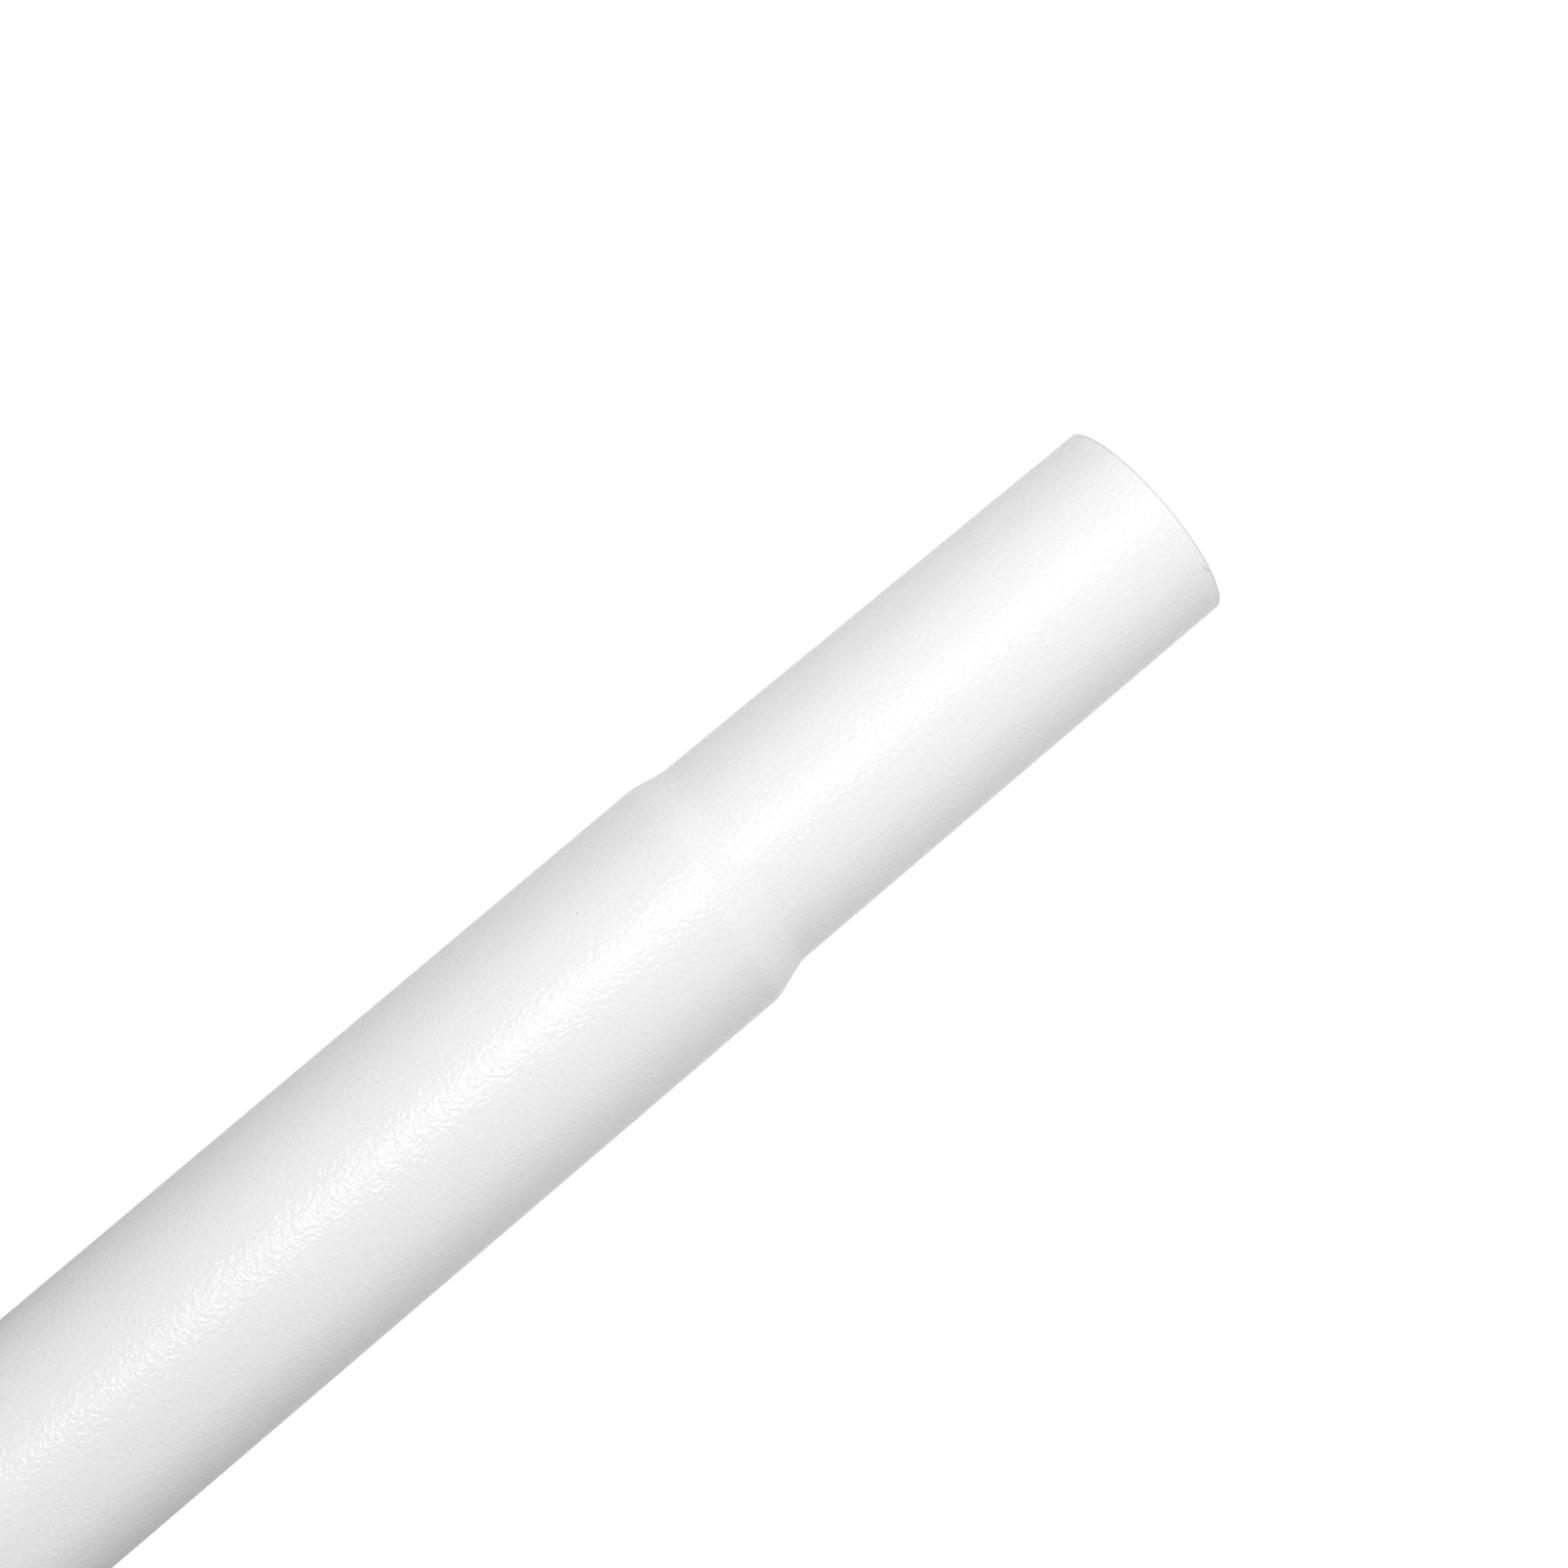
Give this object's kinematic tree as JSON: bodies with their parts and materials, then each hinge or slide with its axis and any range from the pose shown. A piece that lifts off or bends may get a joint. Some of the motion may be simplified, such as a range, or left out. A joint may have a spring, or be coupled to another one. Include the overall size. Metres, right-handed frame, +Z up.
{
  "type": "folding white cane",
  "caption": "Lightweight white support cane: swaged tubes on an elastic cord, sliding handle tube with snap button and screw collar, derby handle, and a pull-off rubber tip.",
  "frame": {"origin": "centre of the end face of the lowest tube's swaged end, on the shaft's axis", "axes": "+X along the shaft from the handle towards the floor end, handle flat in the XY plane, +Z up with the cane lying on its side"},
  "size_m": [1.0434, 0.1245, 0.034],
  "materials": {
    "white_coat": "white powder coat with a fine orange-peel texture",
    "handle_black": "moulded, fine leather-like grain",
    "collar_black": "satin moulded",
    "inner_plastic": "natural nylon",
    "steel": "plain",
    "nickel": "nickel plated",
    "bright_ring": "turned",
    "red_tape": "red reflective tape",
    "cord": "braided elastic",
    "tip_grey": "moulded rubber"
  },
  "bodies": {
    "handle": {"handle_grip": "handle_black", "handle_plug": "inner_plastic", "handle_pin": "steel", "strap_eyelet": "nickel", "trim_ring": "bright_ring", "handle_tube": "white_coat", "lock_sleeve": "collar_black"},
    "lock_bush": {"lock_bush": "inner_plastic"},
    "lock_nut": {"lock_nut": "collar_black"},
    "shaft_1": {"shaft_tube_1": "white_coat", "top_plug": "inner_plastic", "cord_guide_1": "inner_plastic", "upper_cord_anchor": "inner_plastic", "upper_cord_crimp": "bright_ring", "elastic_cord": "cord", "snap_spring": "steel"},
    "button": {"snap_button": "nickel"},
    "shaft_2": {"shaft_tube_2": "white_coat", "socket_ring_2": "collar_black", "cord_guide_2": "inner_plastic"},
    "shaft_3": {"shaft_tube_3": "white_coat", "socket_ring_3": "collar_black", "cord_guide_3": "inner_plastic", "reflective_band": "red_tape"},
    "shaft_4": {"shaft_tube_4": "white_coat", "socket_ring_4": "collar_black", "lower_cord_anchor": "inner_plastic", "lower_cord_crimp": "bright_ring"},
    "tip": {"tip_rubber": "tip_grey", "tip_washer": "steel"}
  },
  "joints": [
    {"name": "height_adjust", "type": "slide", "parent": "handle", "child": "shaft_1", "axis": [1, 0, 0], "range_m": [-0.048, 0.048]},
    {"name": "button_press", "type": "slide", "parent": "shaft_1", "child": "button", "axis": [0, 1, 0], "range_m": [0, 0.004], "stiffness_N_per_m": 600, "springref_m": -0.005, "deforming": ["snap_spring"]},
    {"name": "lock_nut_travel", "type": "slide", "parent": "handle", "child": "lock_bush", "axis": [1, 0, 0], "range_m": [0, 0.001]},
    {"name": "lock_nut_turn", "type": "hinge", "parent": "lock_bush", "child": "lock_nut", "pos_m": [-0.6702, 0, 0], "axis": [1, 0, 0], "range_deg": [0, 180]},
    {"name": "pull_joint_1", "type": "slide", "parent": "shaft_1", "child": "shaft_2", "axis": [1, 0, 0], "range_m": [0, 0.055], "stiffness_N_per_m": 200, "springref_m": -0.07, "deforming": ["elastic_cord"]},
    {"name": "pull_joint_2", "type": "slide", "parent": "shaft_2", "child": "shaft_3", "axis": [1, 0, 0], "range_m": [0, 0.055], "stiffness_N_per_m": 200, "springref_m": -0.07, "deforming": ["elastic_cord"]},
    {"name": "pull_joint_3", "type": "slide", "parent": "shaft_3", "child": "shaft_4", "axis": [1, 0, 0], "range_m": [0, 0.055], "stiffness_N_per_m": 200, "springref_m": -0.07, "deforming": ["elastic_cord"]},
    {"name": "tip_pull", "type": "slide", "parent": "shaft_4", "child": "tip", "axis": [1, 0, 0], "range_m": [-0.12, 0]}
  ],
  "couplings": [
    {"joint": "lock_nut_travel", "follows": "lock_nut_turn", "m_per_rad": 0.00031831}
  ]
}
